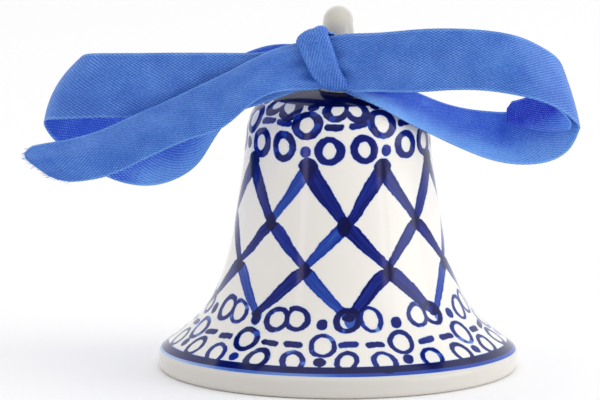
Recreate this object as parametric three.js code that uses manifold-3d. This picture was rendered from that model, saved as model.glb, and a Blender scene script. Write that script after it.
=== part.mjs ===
// Porcelain hand-painted bell with a hanging loop, a loose clapper and a satin ribbon bow.
//
// The frame: millimetres, +Z up, the origin in the middle of the rim's foot on the surface that the
// bell stands on. -Y is the front, where the bow is tied. The hanging loop stands in the YZ plane,
// so the ribbon passes through it along X.

import * as THREE from 'three';
import { mergeVertices } from 'three/addons/utils/BufferGeometryUtils.js';
import Module from 'manifold-3d';

const wasm = await Module();
wasm.setup();

// ---------------------------------------------------------------- driving dimensions

const GAP = 0.35; // left between pieces that touch on the real bell

const RIM_RADIUS = 35.9; // the upright lip round the mouth
const RIM_HEIGHT = 3.6; // height of that lip
const LIP_WIDTH = 3.6; // wall thickness at the foot
const CROWN_TOP = 58.6; // top of the closed end, outside
const CROWN_THICKNESS = 3.8;
const TURNS = 48; // facets round the bell

const LOOP_TOP = 73.1; // top of the hanging loop, and of the bell
const LOOP_SECTION = 3.1; // radius of the rolled clay it is made of
const LOOP_LEGS = 5.5; // from the bell's axis to the middle of each leg

const LUG_SECTION = 1.5; // radius of the small clay eye under the crown
const LUG_LEGS = 3.2; // from the axis to the middle of each of its legs
const LUG_CENTRE = 52; // height of the middle of its round end

const WIRE = 0.6; // radius of the wire of the ring and the clapper pin
const RING_RADIUS = 3.4; // middle of the ring's wire
const PIN_EYE_RADIUS = 1.9; // middle of the wire in the pin's eye
const BEAD_RADIUS = 7;
const BEAD_HEIGHT = 12; // height of the bead's middle above the foot
const BEAD_BORE = 0.95;
const PIN_HEAD_RADIUS = 1.9;
const PIN_HEAD_HEIGHT = 0.8;

const RIBBON_THICKNESS = 0.8; // the cloth is thinner, and its folds make up the rest
const COLLAR_HEIGHT = 5.3; // the ribbon gathered to pass through the loop
const KNOT_FRONT = -15.6;
const KNOT_BACK = -10.6;

// The heights that follow from them.
const LUG_BAR = LUG_CENTRE - LUG_LEGS; // middle of the bar that the ring hangs on
const RING_CENTRE = LUG_BAR + LUG_SECTION + GAP + WIRE - RING_RADIUS;
const RING_BOTTOM = RING_CENTRE - RING_RADIUS; // middle of the wire that the pin hangs on
const PIN_EYE_CENTRE = RING_BOTTOM + 2 * WIRE + GAP - PIN_EYE_RADIUS;

// ---------------------------------------------------------------- finishes

const glaze = () => new THREE.MeshStandardMaterial({ color: 0xe4e2dc, roughness: 0.12 });
const bareGlaze = () => new THREE.MeshStandardMaterial({ color: 0xc9c6b9, roughness: 0.25 });
const steel = () => new THREE.MeshStandardMaterial({ color: 0xb4b7ba, roughness: 0.3, metalness: 1 });
const satin = () => new THREE.MeshStandardMaterial({ color: 0x4a7fd0, roughness: 0.45 });

// ---------------------------------------------------------------- solids

// A closed geometry as a manifold solid, for a join or a cut.
function solid(geometry) {
  const bare = geometry.index ? geometry.toNonIndexed() : geometry.clone();
  bare.deleteAttribute('normal');
  bare.deleteAttribute('uv');
  const merged = mergeVertices(bare, 1e-4);
  const vertProperties = new Float32Array(merged.attributes.position.array);
  const triVerts = new Uint32Array(merged.index.array);
  return new wasm.Manifold(new wasm.Mesh({ numProp: 3, vertProperties, triVerts }));
}

// A manifold solid back as a geometry.
function geometryOf(body) {
  const { vertProperties, triVerts } = body.getMesh();
  const geometry = new THREE.BufferGeometry();
  geometry.setAttribute('position', new THREE.BufferAttribute(vertProperties, 3));
  geometry.setIndex(new THREE.BufferAttribute(triVerts, 1));
  return geometry;
}

// A profile of [radius, height] points turned round Z. It runs down the outside and up the inside.
function turned(profile, segments) {
  const points = profile.map(([r, z]) => new THREE.Vector2(r, z)).reverse();
  const geometry = new THREE.LatheGeometry(points, segments);
  geometry.rotateX(Math.PI / 2);
  return geometry;
}

// A round rod along a path.
function rod(path, radius, sides, steps) {
  const section = new THREE.Shape();
  for (let i = 0; i < sides; i += 1) {
    const angle = (2 * Math.PI * i) / sides;
    const x = radius * Math.cos(angle);
    const y = radius * Math.sin(angle);
    if (i === 0) section.moveTo(x, y);
    else section.lineTo(x, y);
  }
  section.closePath();
  return new THREE.ExtrudeGeometry(section, { extrudePath: path, steps, bevelEnabled: false });
}

// An upright rod along Z between two heights.
function pillar(radius, bottom, top, sides) {
  const geometry = new THREE.CylinderGeometry(radius, radius, top - bottom, sides);
  geometry.rotateX(Math.PI / 2);
  geometry.translate(0, 0, (top + bottom) / 2);
  return geometry;
}

// Evenly spaced points of a smooth curve through [a, b] points.
function smooth(points, count) {
  const curve = new THREE.SplineCurve(points.map(([a, b]) => new THREE.Vector2(a, b)));
  return curve.getSpacedPoints(count).map((p) => [p.x, p.y]);
}

// A closed strip of cloth. Each station holds the upper and the lower edge as [x, y, z]; both edges
// are smooth curves, and the strip has its thickness on both sides of the surface between them.
function strip(stations, steps) {
  const edge = (k) => new THREE.CatmullRomCurve3(stations.map((s) => new THREE.Vector3(...s[k])));
  const [upper, lower] = [edge(0), edge(1)];
  const positions = [];
  const half = RIBBON_THICKNESS / 2;
  for (let i = 0; i <= steps; i += 1) {
    const t = i / steps;
    const a = upper.getPoint(t);
    const b = lower.getPoint(t);
    const along = upper.getTangent(t).add(lower.getTangent(t));
    const normal = along.cross(new THREE.Vector3().subVectors(a, b)).normalize();
    for (const [point, side] of [[a, half], [b, half], [b, -half], [a, -half]]) {
      positions.push(...point.clone().addScaledVector(normal, side).toArray());
    }
  }
  const index = [];
  const quad = (p, q, r, s) => index.push(p, q, r, p, r, s);
  for (let i = 0; i < steps; i += 1) {
    for (let k = 0; k < 4; k += 1) {
      const next = (k + 1) % 4;
      quad(4 * i + k, 4 * i + next, 4 * i + 4 + next, 4 * i + 4 + k);
    }
  }
  quad(3, 2, 1, 0);
  const last = 4 * steps;
  quad(last, last + 1, last + 2, last + 3);
  const geometry = new THREE.BufferGeometry();
  geometry.setAttribute('position', new THREE.Float32BufferAttribute(positions, 3));
  geometry.setIndex(index);
  return geometry;
}

// ---------------------------------------------------------------- the bell

// The outside, from the middle of the crown down to the lip: a low dome, a round shoulder, a long
// slightly tapered waist and a trumpet flare.
const OUTSIDE = [
  [0, CROWN_TOP], [5, 58.2], [9.5, 57.1], [13.4, 55.4], [16.2, 53.1], [17.8, 50.2], [18.5, 46],
  [19.0, 41], [19.7, 36], [20.4, 31], [21.3, 26], [22.6, 20.8], [24.6, 15.4], [27.2, 11.1],
  [30.2, 8.1], [33.4, 5.7], [35.3, 4.3],
];

// The inside, from the lip up to the middle of the crown.
const INSIDE = [
  [RIM_RADIUS - LIP_WIDTH, 1.2], [30.6, 3.2], [27.6, 6.1], [24.4, 10], [21.6, 15.2], [19.2, 21.5],
  [17.5, 29], [16.3, 37], [15.2, 45], [14.1, 49.2], [11.8, 52.2], [8, 54],
  [0, CROWN_TOP - CROWN_THICKNESS],
];

function bellShell() {
  const lip = [
    [RIM_RADIUS, RIM_HEIGHT - 0.3], [RIM_RADIUS, 0.9], [RIM_RADIUS - 0.25, 0.3],
    [RIM_RADIUS - 0.8, 0], [RIM_RADIUS - LIP_WIDTH + 0.7, 0], [RIM_RADIUS - LIP_WIDTH + 0.15, 0.35],
  ];
  return turned([...smooth(OUTSIDE, 24), ...lip, ...smooth(INSIDE, 17)], TURNS);
}

// A U of rolled clay with its round end up or down, in the plane of its legs: the path runs from one
// leg's end round to the other's.
function bentRod(legs, legEnd, centre, plane) {
  const path = new THREE.CurvePath();
  const place = (across, z) => (plane === 'YZ' ? new THREE.Vector3(0, across, z)
    : new THREE.Vector3(across, 0, z));
  const way = Math.sign(centre - legEnd);
  const round = [];
  for (let i = 0; i <= 12; i += 1) {
    const angle = (Math.PI * i) / 12;
    round.push(place(-legs * Math.cos(angle), centre + way * legs * Math.sin(angle)));
  }
  path.add(new THREE.LineCurve3(place(-legs, legEnd), round[0]));
  path.add(new THREE.CatmullRomCurve3(round));
  path.add(new THREE.LineCurve3(round[12], place(legs, legEnd)));
  return path;
}

function hangingLoop(shell) {
  const centre = LOOP_TOP - LOOP_SECTION - LOOP_LEGS;
  const legEnd = CROWN_TOP - 2;
  const path = bentRod(LOOP_LEGS, legEnd, centre, 'YZ');
  const raised = solid(shell).translate([0, 0, GAP]);
  return geometryOf(solid(rod(path, LOOP_SECTION, 12, 28)).subtract(raised));
}

function clapperLug(shell) {
  const legEnd = CROWN_TOP - CROWN_THICKNESS + 1.2;
  const path = bentRod(LUG_LEGS, legEnd, LUG_CENTRE, 'XZ');
  const lowered = solid(shell).translate([0, 0, -GAP]);
  return geometryOf(solid(rod(path, LUG_SECTION, 10, 24)).subtract(lowered));
}

// ---------------------------------------------------------------- the clapper

// The ring hangs in the YZ plane on the lug's bar, which runs along X.
function linkRing() {
  const geometry = new THREE.TorusGeometry(RING_RADIUS, WIRE, 8, 28);
  geometry.rotateY(Math.PI / 2);
  geometry.translate(0, 0, RING_CENTRE);
  return geometry;
}

// A wire with a flat head at its foot and an eye bent at its top, in the XZ plane.
function clapperPin() {
  const eye = new THREE.TorusGeometry(PIN_EYE_RADIUS, WIRE, 8, 20);
  eye.rotateX(Math.PI / 2);
  eye.translate(0, 0, PIN_EYE_CENTRE);
  const headTop = BEAD_HEIGHT - BEAD_RADIUS - GAP;
  const stem = pillar(WIRE, headTop - 0.1, PIN_EYE_CENTRE - PIN_EYE_RADIUS, 8);
  const head = pillar(PIN_HEAD_RADIUS, headTop - PIN_HEAD_HEIGHT, headTop, 16);
  return geometryOf(solid(eye).add(solid(stem)).add(solid(head)));
}

// A fired clay ball with a straight bore for the pin.
function clapperBead() {
  const reach = Math.acos(BEAD_BORE / BEAD_RADIUS);
  const profile = [];
  for (let i = 0; i <= 16; i += 1) {
    const angle = reach * (1 - (2 * i) / 16);
    profile.push([BEAD_RADIUS * Math.cos(angle), BEAD_HEIGHT + BEAD_RADIUS * Math.sin(angle)]);
  }
  profile.push(profile[0]);
  return turned(profile, 28);
}

// ---------------------------------------------------------------- the ribbon

// One strip of satin, tied in a bow round the front leg of the hanging loop. It is made here in the
// stretches that the knot parts it into, each with its upper and its lower edge.

// The gathered turn through the hanging loop, round its front leg.
function ribbonCollar() {
  const inner = LOOP_SECTION + 0.5;
  const outline = new THREE.Shape();
  outline.absarc(0, 0, inner + 1, 0, 2 * Math.PI, false);
  const hole = new THREE.Path();
  hole.absarc(0, 0, inner, 0, 2 * Math.PI, true);
  outline.holes.push(hole);
  const geometry = new THREE.ExtrudeGeometry(outline, {
    depth: COLLAR_HEIGHT, bevelEnabled: false, curveSegments: 14,
  });
  geometry.translate(0, -LOOP_LEGS, 60);
  return geometry;
}

// The wrap that holds the bow: a slanted pad, high at its left and low at its right.
function ribbonKnot() {
  const outline = new THREE.Shape();
  outline.moveTo(-7.6, 66.2);
  outline.quadraticCurveTo(-6.6, 70.4, -3.8, 70.4);
  outline.quadraticCurveTo(-2.6, 70, -2.3, 68);
  outline.lineTo(1.7, 58.6);
  outline.quadraticCurveTo(0.6, 57.6, -2.4, 57.9);
  outline.closePath();
  const depth = KNOT_FRONT - KNOT_BACK;
  const geometry = new THREE.ExtrudeGeometry(outline, {
    depth: -depth, bevelEnabled: false, curveSegments: 6,
  });
  geometry.rotateX(Math.PI / 2);
  geometry.translate(0, KNOT_BACK, 0);
  return geometry;
}

// Right of the knot the front strand runs out level, turns back and down, and comes home behind and
// below itself, over the shoulder of the bell.
const RIGHT_LOOP = [
  [[-1.7, -12.6, 68.8], [2.3, -14, 58.4]],
  [[6.4, -13.2, 69.6], [6.8, -14.3, 58.3]],
  [[12.4, -14.2, 70.3], [12.8, -15, 58.3]],
  [[20.4, -15, 70.9], [20.4, -15.2, 58.7]],
  [[30.2, -14.5, 70.4], [28.8, -16, 58.7]],
  [[36.4, -13, 68.9], [36.4, -16, 57.3]],
  [[42, -10, 65.9], [44.4, -14, 54]],
  [[45, -6, 62.8], [48, -10.5, 50.6]],
  [[45.5, -2.3, 59.3], [48.4, -6.5, 49]],
  [[42.5, 0.5, 55.3], [46.8, -2, 44.6]],
  [[38.5, 2.5, 52.4], [42.4, 0, 41.6]],
  [[34, 3, 51.3], [36.4, -0.5, 41.1]],
  [[30.4, 1.5, 51.7], [28.4, -4, 43.5]],
  [[23, -2, 53.5], [20.4, -7.5, 47.6]],
  [[17.4, -7, 56.2], [15.4, -12, 50.7]],
  [[11, -9.8, 58.2], [8.4, -14.6, 55.2]],
  [[4.2, -10.2, 59], [2.9, -12.9, 57.7]],
];

// The tail of that side lies inside the right loop and ends a little past the turn.
const TUCKED_TAIL = [
  [[-1.4, -11.4, 68.2], [2.4, -12.4, 60.2]],
  [[6.4, -11.8, 69], [6.8, -12.8, 60]],
  [[12.4, -12.8, 69.8], [12.8, -13.4, 60]],
  [[20.4, -13.5, 70.2], [20.4, -13.7, 60]],
  [[29.8, -12.9, 69.4], [28.6, -14.2, 59.4]],
  [[35.4, -11.4, 68], [35.4, -14.2, 57.8]],
  [[40.4, -8.6, 65], [42.8, -12.2, 54.6]],
  [[43.2, -5.5, 62], [45.9, -9.6, 51.3]],
  [[43.5, -3.1, 58.8], [46.2, -6.8, 49.4]],
  [[41, -1.3, 56.4], [44.4, -4, 46.8]],
  [[38, 0.2, 54.6], [40.4, -2.6, 44.9]],
  [[33.6, 0.8, 53.3], [33.8, -2.8, 45.2]],
];

// Left of the knot the upper strand runs out level and turns down; the strand that comes home sags
// below it and rises behind it to the back of the knot.
const LEFT_LOOP = [
  [[-8.4, -11.6, 66.9], [-4.4, -12, 59]],
  [[-15, -11.8, 65.4], [-15, -13, 55.3]],
  [[-23.6, -12.2, 65.3], [-24.2, -13.2, 53]],
  [[-35.6, -12.2, 65.3], [-37.6, -13.2, 52.3]],
  [[-45.4, -10.8, 65], [-49.2, -12, 52.2]],
  [[-50.2, -8, 64.2], [-55.8, -9.4, 51.5]],
  [[-51.2, -4.2, 62], [-58.4, -5.6, 50.4]],
  [[-49.5, -1.2, 57.6], [-57.2, -2.2, 46.9]],
  [[-43.5, 0.8, 51.8], [-51.6, -0.2, 41.9]],
  [[-37.6, 2, 48.4], [-45.2, 0.8, 37.8]],
  [[-34, 2.8, 48.2], [-38.6, 1, 36.4]],
  [[-31.2, 3.4, 49.6], [-33.2, 1.4, 37.4]],
  [[-29.6, 3.8, 52.4], [-28.4, 1.8, 40.4]],
  [[-28.2, 3.6, 55.8], [-25.6, 2, 44.4]],
  [[-24.2, 3, 60], [-21.4, 0.8, 50.8]],
  [[-18.4, 0.6, 63.4], [-16.6, -2.6, 55.8]],
  [[-9.8, -6.6, 66.2], [-6.4, -8.6, 59.6]],
];

// The other tail crosses in front of the left loop and is cut on a slant.
const FRONT_TAIL = [
  [[-8.5, -13.4, 67.4], [-3.8, -14.4, 58.4]],
  [[-13.6, -14, 65.9], [-11.4, -17, 58.3]],
  [[-20.6, -14.6, 62.4], [-17.6, -18.6, 55.7]],
  [[-27.6, -15, 59.1], [-23.2, -19.2, 51.3]],
  [[-34.6, -15.4, 55.9], [-29.6, -19.6, 49]],
  [[-41.6, -15.8, 52.8], [-35.6, -20, 46.4]],
  [[-48.4, -16, 49.8], [-40.8, -20.2, 43.9]],
  [[-55.2, -16.2, 48.2], [-44.8, -20.4, 42.2]],
  [[-62.6, -16.4, 45.7], [-47.2, -20.4, 41.4]],
];

// ---------------------------------------------------------------- the object

const bell = new THREE.Group();

function add(name, geometry, material) {
  const mesh = new THREE.Mesh(geometry, material);
  mesh.name = name;
  bell.add(mesh);
}

const shell = bellShell();
add('bell_shell', shell, glaze());
add('hanging_loop', hangingLoop(shell), bareGlaze());
add('clapper_lug', clapperLug(shell), bareGlaze());
add('link_ring', linkRing(), steel());
add('clapper_pin', clapperPin(), steel());
add('clapper_bead', clapperBead(), glaze());
add('ribbon_collar', ribbonCollar(), satin());
add('ribbon_knot', ribbonKnot(), satin());
add('ribbon_right_loop', strip(RIGHT_LOOP, 44), satin());
add('ribbon_tucked_tail', strip(TUCKED_TAIL, 32), satin());
add('ribbon_left_loop', strip(LEFT_LOOP, 44), satin());
add('ribbon_front_tail', strip(FRONT_TAIL, 22), satin());

export default bell;
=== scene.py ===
# %% [markdown]
# # A painted porcelain bell with a ribbon bow
#
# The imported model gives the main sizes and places. This script makes the looks round it: the glazed
# bell with its cobalt painting, the rolled clay loop, the clapper and the satin bow. The bell's
# outline and the ribbon's edges are set out here. Each step says what the real piece is, how it
# could be made, and why it is made this way.

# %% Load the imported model
import math

import bmesh
import bpy
import numpy as np
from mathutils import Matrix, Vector


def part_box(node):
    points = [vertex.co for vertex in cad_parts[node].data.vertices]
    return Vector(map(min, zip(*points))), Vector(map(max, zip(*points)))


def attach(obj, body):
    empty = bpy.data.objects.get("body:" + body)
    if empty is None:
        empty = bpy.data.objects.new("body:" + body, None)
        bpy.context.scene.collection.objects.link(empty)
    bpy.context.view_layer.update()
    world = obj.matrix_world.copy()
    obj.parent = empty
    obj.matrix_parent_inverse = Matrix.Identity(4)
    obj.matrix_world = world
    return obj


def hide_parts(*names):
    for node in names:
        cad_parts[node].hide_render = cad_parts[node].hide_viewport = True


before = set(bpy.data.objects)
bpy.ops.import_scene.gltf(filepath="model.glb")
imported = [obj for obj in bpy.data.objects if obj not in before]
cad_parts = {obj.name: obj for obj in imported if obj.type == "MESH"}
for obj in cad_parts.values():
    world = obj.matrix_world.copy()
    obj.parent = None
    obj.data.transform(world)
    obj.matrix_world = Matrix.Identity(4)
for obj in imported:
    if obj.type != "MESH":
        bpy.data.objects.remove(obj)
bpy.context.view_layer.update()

MM = 0.001
_, shell_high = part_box("bell_shell")
_, loop_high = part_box("hanging_loop")

# %% [markdown]
# ## Camera and studio
#
# The bell is a small thing looked at from a little above with a long lens, so its sides stay almost
# parallel. A lens is set by what it takes in: here 120 mm across at the bell, from 1.6 m away. The
# studio is a white tent: a pale floor, a white world that is dimmer on the camera's side, and even
# light through the roof. Two tall narrow soft boxes, left and right, draw the two upright streaks on
# the glaze, and a larger key light stands further round on the right.

# %% The camera
VIEW_WIDTH = 0.12
CAMERA_DISTANCE = 1.6
CAMERA_HEIGHT_ANGLE = math.radians(9.6)
LOOK_AT = Vector((-0.0076, 0, 0.0337))


def place_camera():
    data = bpy.data.cameras.new("camera")
    data.sensor_width = 36
    data.lens = data.sensor_width * CAMERA_DISTANCE / VIEW_WIDTH
    data.clip_start, data.clip_end = 0.05, 60
    camera = bpy.data.objects.new("camera", data)
    bpy.context.collection.objects.link(camera)
    back = Vector((0, -math.cos(CAMERA_HEIGHT_ANGLE), math.sin(CAMERA_HEIGHT_ANGLE)))
    camera.location = LOOK_AT + back * CAMERA_DISTANCE
    camera.rotation_euler = back.to_track_quat("Z", "Y").to_euler()
    bpy.context.scene.camera = camera
    return camera


camera = place_camera()
print("the lens is", round(camera.data.lens), "mm long")

# %% The lights
bpy.context.scene.view_settings.view_transform = "Standard"


def soft_box(name, azimuth, height, distance, size, watts, tint=(1, 1, 1)):
    """An area light that looks at the bell; azimuth 0 is behind the camera, plus is to the right."""
    data = bpy.data.lights.new(name, "AREA")
    data.shape = "RECTANGLE"
    data.size, data.size_y = size
    data.energy = watts
    data.color = tint
    light = bpy.data.objects.new(name, data)
    bpy.context.collection.objects.link(light)
    angle = math.radians(azimuth)
    light.location = (distance * math.sin(angle), -distance * math.cos(angle), height)
    aim = Vector((0, 0, 0.03)) - light.location
    light.rotation_euler = aim.to_track_quat("-Z", "Y").to_euler()


def tent_world(front, back):
    """The tent is lit from behind, so it is dimmer on the side that the camera is on."""
    world = bpy.data.worlds.new("white tent")
    bpy.context.scene.world = world
    world.use_nodes = True
    tree = world.node_tree
    place = tree.nodes.new("ShaderNodeTexCoord")
    parts = tree.nodes.new("ShaderNodeSeparateXYZ")
    shade = tree.nodes.new("ShaderNodeMapRange")
    shade.inputs["From Min"].default_value = -1
    shade.inputs["From Max"].default_value = 0.4
    shade.inputs["To Min"].default_value = front
    shade.inputs["To Max"].default_value = back
    tree.nodes["Background"].inputs["Color"].default_value = (1, 1, 1, 1)
    tree.links.new(place.outputs["Generated"], parts.inputs[0])
    tree.links.new(parts.outputs["Y"], shade.inputs["Value"])
    tree.links.new(shade.outputs[0], tree.nodes["Background"].inputs["Strength"])


def sky_panel(strength):
    """Even light from straight above, as through the tent's roof."""
    data = bpy.data.lights.new("roof", "SUN")
    data.energy = strength
    data.angle = math.radians(100)
    roof = bpy.data.objects.new("roof", data)
    bpy.context.collection.objects.link(roof)


tent_world(0.34, 1.0)
sky_panel(0.6)
soft_box("left soft box", -40, 0.10, 0.7, (0.08, 0.7), 0.5, (0.86, 0.72, 1))
soft_box("right soft box", 50, 0.10, 0.7, (0.07, 0.7), 0.42, (0.86, 0.72, 1))
soft_box("right key", 78, 0.42, 1.1, (0.8, 0.8), 4.6)

# %% [markdown]
# ## Sums on sockets
#
# Most of the painting is worked out by sums: how far a point is from a ring, which diamond of the
# lattice it lies in. A shader does sums with Math nodes, which are slow to wire by hand. A small
# class wraps a socket, so that a sum written in Python adds its Math nodes by itself.

# %% A socket that does sums
class Wire:
    """The output of a node, which adds a Math node when it is used in a sum."""

    def __init__(self, finish, socket):
        self.finish, self.socket = finish, socket

    def sum(self, operation, *values, clamp=False):
        settings = {"operation": operation, "use_clamp": clamp}
        return self.finish.node("ShaderNodeMath", settings, *values)

    def __add__(self, other):
        return self.sum("ADD", self, other)

    def __sub__(self, other):
        return self.sum("SUBTRACT", self, other)

    def __rsub__(self, other):
        return self.sum("SUBTRACT", other, self)

    def __mul__(self, other):
        return self.sum("MULTIPLY", self, other)

    def __truediv__(self, other):
        return self.sum("DIVIDE", self, other)

    def __rtruediv__(self, other):
        return self.sum("DIVIDE", other, self)

    __radd__, __rmul__ = __add__, __mul__

    def call(self, operation, *others):
        """One of the Math node's other functions, such as SINE, FLOOR or MAXIMUM."""
        return self.sum(operation, self, *others)

    def held(self, low, high):
        return self.call("MAXIMUM", low).call("MINIMUM", high)


class Finish:
    """A material being made, with the one method that adds a node to it."""

    def __init__(self, name):
        self.material = bpy.data.materials.new(name)
        self.material.use_nodes = True
        self.tree = self.material.node_tree
        self.shader = self.tree.nodes["Principled BSDF"]

    def node(self, kind, settings=None, *values, output=0, **named):
        """Adds a node. values go to its sockets in order, named to those of that name."""
        node = self.tree.nodes.new(kind)
        for key, value in (settings or {}).items():
            if key == "stops":
                self.set_stops(node.color_ramp, value)
            else:
                setattr(node, key, value)
        for socket, value in zip(node.inputs, values):
            self.feed(socket, value)
        for key, value in named.items():
            self.feed(node.inputs[key], value)
        return Wire(self, node.outputs[output])

    def set_stops(self, ramp, stops):
        while len(ramp.elements) < len(stops):
            ramp.elements.new(0.5)
        for element, (position, colour) in zip(ramp.elements, stops):
            element.position, element.color = position, (*colour, 1)

    def feed(self, socket, value):
        if isinstance(value, Wire):
            self.tree.links.new(value.socket, socket)
        else:
            socket.default_value = value

    def parts(self, vector):
        """The three numbers of a vector."""
        split = self.node("ShaderNodeSeparateXYZ", None, vector)
        return [Wire(self, out) for out in split.socket.node.outputs]

    def length(self, across, along):
        vector = self.node("ShaderNodeCombineXYZ", None, across, along, 0.0)
        settings = {"operation": "LENGTH"}
        return self.node("ShaderNodeVectorMath", settings, vector, output="Value")

    def step(self, value, start, end):
        """0 where value is at start, 1 where it is at end, smooth between."""
        settings = {"interpolation_type": "SMOOTHSTEP"}
        return self.node("ShaderNodeMapRange", settings, value, start, end)

    def between(self, low, high, factor):
        return low + (high - low) * factor

    def noise(self, position, scale, detail=2.0, output=0):
        return self.node("ShaderNodeTexNoise", None, Vector=position, Scale=scale, Detail=detail,
                         output=output)

    def chance(self, index, seed):
        """Three numbers from 0 to 1 that stay the same for one whole number."""
        settings = {"noise_dimensions": "1D"}
        wire = self.node("ShaderNodeTexWhiteNoise", settings, W=index + seed, output="Color")
        colours = self.node("ShaderNodeSeparateColor", None, wire)
        return [Wire(self, out) for out in colours.socket.node.outputs[:3]]

    def set(self, **values):
        for key, value in values.items():
            self.feed(self.shader.inputs[key.replace("_", " ")], value)


def colour(red, green, blue):
    """A colour given as the screen shows it, 0 to 255, as the shader wants it."""
    shown = [v / 255 for v in (red, green, blue)]
    return tuple(v / 12.92 if v <= 0.04045 else ((v + 0.055) / 1.055) ** 2.4 for v in shown)


# %% [markdown]
# ## The bell's shell
#
# The real shell is thrown on a wheel, so every section across it is a circle: one outline, turned
# round. It could be spun in mesh code; here Geometry Nodes do it, because the rule is so short. A
# grid is laid over the outline, and each row of it becomes a circle of that point's radius. The
# distance along the outline is kept on the mesh as "arc", and the painting is measured with it.

# %% The outline, in millimetres: [radius, height]
RIM_RADIUS = shell_high[0] / MM
CROWN_TOP = shell_high[2] / MM
CROWN_THICKNESS = 3.8
LIP_WIDTH = 3.6
LIP_ROUND = 1.1
FOOT_ROUND = 0.8
INNER_ROUND = 0.7
RIM_HEIGHT = 4.1

OUTSIDE = [
    [0, CROWN_TOP], [5, 58.2], [9.5, 57.1], [13.4, 55.4], [16.2, 53.1], [17.8, 50.2], [18.5, 46],
    [19.0, 41], [19.7, 36], [20.4, 31], [21.3, 26], [22.6, 20.8], [24.6, 15.4], [27.2, 11.1],
    [30.2, 8.1], [33.2, 5.7],
]
INSIDE = [
    [RIM_RADIUS - LIP_WIDTH, 1.2], [30.6, 3.2], [27.6, 6.1], [24.4, 10], [21.6, 15.2], [19.2, 21.5],
    [17.5, 29], [16.3, 37], [15.2, 45], [14.1, 49.2], [11.8, 52.2], [8, 54],
    [0, CROWN_TOP - CROWN_THICKNESS],
]


def smooth_line(points, count):
    """Evenly spread points of the smoothest curve through the given ones, a natural cubic spline."""
    given = np.array(points, float)
    place = np.concatenate([[0], np.cumsum(np.linalg.norm(np.diff(given, axis=0), axis=1))])
    gap = np.diff(place)
    left, right = np.eye(len(place)), np.zeros_like(given)
    for i in range(1, len(place) - 1):
        left[i, i - 1:i + 2] = gap[i - 1], 2 * (gap[i - 1] + gap[i]), gap[i]
        slope_before = (given[i] - given[i - 1]) / gap[i - 1]
        slope_after = (given[i + 1] - given[i]) / gap[i]
        right[i] = 6 * (slope_after - slope_before)
    bend = np.linalg.solve(left, right)
    wanted = np.linspace(0, place[-1], count)
    i = np.clip(np.searchsorted(place, wanted, side="right") - 1, 0, len(gap) - 1)
    to_next = (place[i + 1] - wanted)[:, None]
    from_last = (wanted - place[i])[:, None]
    span = gap[i][:, None]
    curve = (bend[i] * to_next ** 3 + bend[i + 1] * from_last ** 3) / (6 * span)
    curve = curve + (given[i] / span - bend[i] * span / 6) * to_next
    return curve + (given[i + 1] / span - bend[i + 1] * span / 6) * from_last


def arc_points(centre, radius, start, end, count):
    angles = np.radians(np.linspace(start, end, count))
    return np.stack([centre[0] + radius * np.cos(angles), centre[1] + radius * np.sin(angles)], 1)


def bell_outline():
    """The whole outline from the crown's middle down the outside, round the lip and up inside."""
    crown = [-OUTSIDE[1][0], OUTSIDE[1][1]]
    outside = smooth_line([crown, *OUTSIDE], 260)
    inside = smooth_line([*INSIDE, [-INSIDE[-2][0], INSIDE[-2][1]]], 240)
    shoulder = arc_points((RIM_RADIUS - LIP_ROUND, RIM_HEIGHT - LIP_ROUND), LIP_ROUND, 52, 0, 8)
    heel = arc_points((RIM_RADIUS - FOOT_ROUND, FOOT_ROUND), FOOT_ROUND, 0, -90, 8)
    inner_middle = (RIM_RADIUS - LIP_WIDTH + INNER_ROUND, INNER_ROUND)
    inner = arc_points(inner_middle, INNER_ROUND, -90, -180, 7)
    parts = [[[0, CROWN_TOP]], outside[outside[:, 0] > 0.2], shoulder, heel, inner,
             inside[inside[:, 0] > 0.2][4:], [[0, CROWN_TOP - CROWN_THICKNESS]]]
    return np.concatenate(parts)


outline = bell_outline()
outline_arc = np.concatenate([[0], np.cumsum(np.linalg.norm(np.diff(outline, axis=0), axis=1))])
foot_start = int(np.argmax((outline[:, 1] < 0.35) & (outline[:, 0] > 30)))
print("the outline is", round(outline_arc[-1], 1), "mm long")


def arc_at(height):
    """How far along the outline the outside is at this height."""
    down = outline[:foot_start + 1]
    return float(np.interp(-height, -down[:, 1], outline_arc[:foot_start + 1]))


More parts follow.
